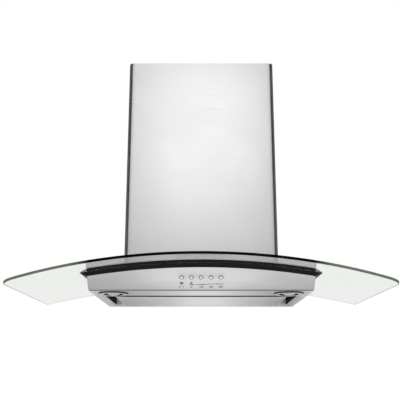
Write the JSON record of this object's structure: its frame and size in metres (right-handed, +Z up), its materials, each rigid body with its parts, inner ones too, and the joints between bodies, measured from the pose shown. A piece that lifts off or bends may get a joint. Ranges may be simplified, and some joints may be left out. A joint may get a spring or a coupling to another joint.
{
  "type": "range hood",
  "caption": "Wall-mounted range hood: arched glass canopy over a shallow steel body with push buttons, lamps, a hinged suction panel, blower and telescoping chimney.",
  "frame": {"origin": "on the wall plane, centred on the hood, level with the flat underside of the steel body", "axes": "+X to the viewer's right, +Y into the wall, +Z up"},
  "size_m": [0.9, 0.5, 0.627],
  "materials": {
    "brushed_stainless": "brushed, fine lengthwise grain",
    "galvanised_sheet": "galvanised, dull",
    "tempered_glass": "polished",
    "black_rubber": "satin",
    "chromed_plastic": "polished",
    "black_plastic": "moulded",
    "frosted_lens": "frosted",
    "anodised_aluminium": "satin",
    "white_plastic": "moulded",
    "circuit_board": "solder mask",
    "zinc_plated_steel": "zinc plated",
    "painted_motor": "painted",
    "expanded_aluminium": "expanded mesh",
    "magnet": "sintered"
  },
  "bodies": {
    "casing": {"glass_canopy": "tempered_glass", "glass_gasket": "black_rubber", "glass_spacers": "black_rubber", "glass_washers": "black_rubber", "glass_bolts": "zinc_plated_steel", "glass_nuts": "zinc_plated_steel", "body_shell": "brushed_stainless", "control_panel": "brushed_stainless", "bottom_frame": "brushed_stainless", "filter_support": "brushed_stainless", "filter_frame": "anodised_aluminium", "filter_mesh": "expanded_aluminium", "hinge_brackets": "brushed_stainless", "magnets": "magnet", "magnet_posts": "black_plastic", "lamp_bezels": "chromed_plastic", "lamp_lenses": "frosted_lens", "lamp_housings": "anodised_aluminium", "lamp_boards": "circuit_board", "lamp_driver": "white_plastic", "button_guide": "black_plastic", "switches": "black_plastic", "control_board": "circuit_board", "board_posts": "white_plastic", "blower_chamber": "galvanised_sheet", "volute": "white_plastic", "inlet_rings": "white_plastic", "fan_motor": "painted_motor", "motor_bracket": "galvanised_sheet", "motor_screws": "zinc_plated_steel", "capacitor": "white_plastic", "terminal_box": "white_plastic", "cable_gland": "black_plastic", "duct_collar": "galvanised_sheet", "damper_pin": "zinc_plated_steel", "chimney_lower": "brushed_stainless", "wall_frame": "galvanised_sheet", "chimney_side_brackets": "galvanised_sheet", "chimney_screws": "zinc_plated_steel"},
    "panel": {"perimetric_panel": "brushed_stainless", "panel_pins": "zinc_plated_steel", "panel_strikes": "zinc_plated_steel"},
    "latch": {"filter_latch": "black_plastic"},
    "fan": {"impeller": "black_plastic", "motor_shaft": "zinc_plated_steel"},
    "flap_front": {"damper_flap_front": "white_plastic"},
    "flap_rear": {"damper_flap_rear": "white_plastic"},
    "upper_chimney": {"chimney_upper": "brushed_stainless", "chimney_bracket": "galvanised_sheet", "bracket_screws": "zinc_plated_steel"},
    "button_1_cap": {"button_1": "chromed_plastic"},
    "button_2_cap": {"button_2": "chromed_plastic"},
    "button_3_cap": {"button_3": "chromed_plastic"},
    "button_4_cap": {"button_4": "chromed_plastic"},
    "button_5_cap": {"button_5": "chromed_plastic"}
  },
  "joints": [
    {"name": "panel_hinge", "type": "hinge", "parent": "casing", "child": "panel", "pos_m": [0, -0.041, 0.005], "axis": [1, 0, 0], "range_deg": [0, 85]},
    {"name": "latch_slide", "type": "slide", "parent": "casing", "child": "latch", "axis": [0, 1, 0], "range_m": [0, 0.004], "stiffness_N_per_m": 400},
    {"name": "fan_spin", "type": "hinge", "parent": "casing", "child": "fan", "pos_m": [0, -0.137, 0.15], "axis": [1, 0, 0], "continuous": true},
    {"name": "flap_front_swing", "type": "hinge", "parent": "casing", "child": "flap_front", "pos_m": [0, -0.16, 0.29], "axis": [-1, 0, 0], "range_deg": [0, 75]},
    {"name": "flap_rear_swing", "type": "hinge", "parent": "casing", "child": "flap_rear", "pos_m": [0, -0.16, 0.29], "axis": [1, 0, 0], "range_deg": [0, 75]},
    {"name": "chimney_slide", "type": "slide", "parent": "casing", "child": "upper_chimney", "axis": [0, 0, 1], "range_m": [0, 0.3]},
    {"name": "button_1_press", "type": "slide", "parent": "casing", "child": "button_1_cap", "axis": [0, 0.7433, 0.669], "range_m": [0, 0.002], "stiffness_N_per_m": 900},
    {"name": "button_2_press", "type": "slide", "parent": "casing", "child": "button_2_cap", "axis": [0, 0.7433, 0.669], "range_m": [0, 0.002], "stiffness_N_per_m": 900},
    {"name": "button_3_press", "type": "slide", "parent": "casing", "child": "button_3_cap", "axis": [0, 0.7433, 0.669], "range_m": [0, 0.002], "stiffness_N_per_m": 900},
    {"name": "button_4_press", "type": "slide", "parent": "casing", "child": "button_4_cap", "axis": [0, 0.7433, 0.669], "range_m": [0, 0.002], "stiffness_N_per_m": 900},
    {"name": "button_5_press", "type": "slide", "parent": "casing", "child": "button_5_cap", "axis": [0, 0.7433, 0.669], "range_m": [0, 0.002], "stiffness_N_per_m": 900}
  ]
}
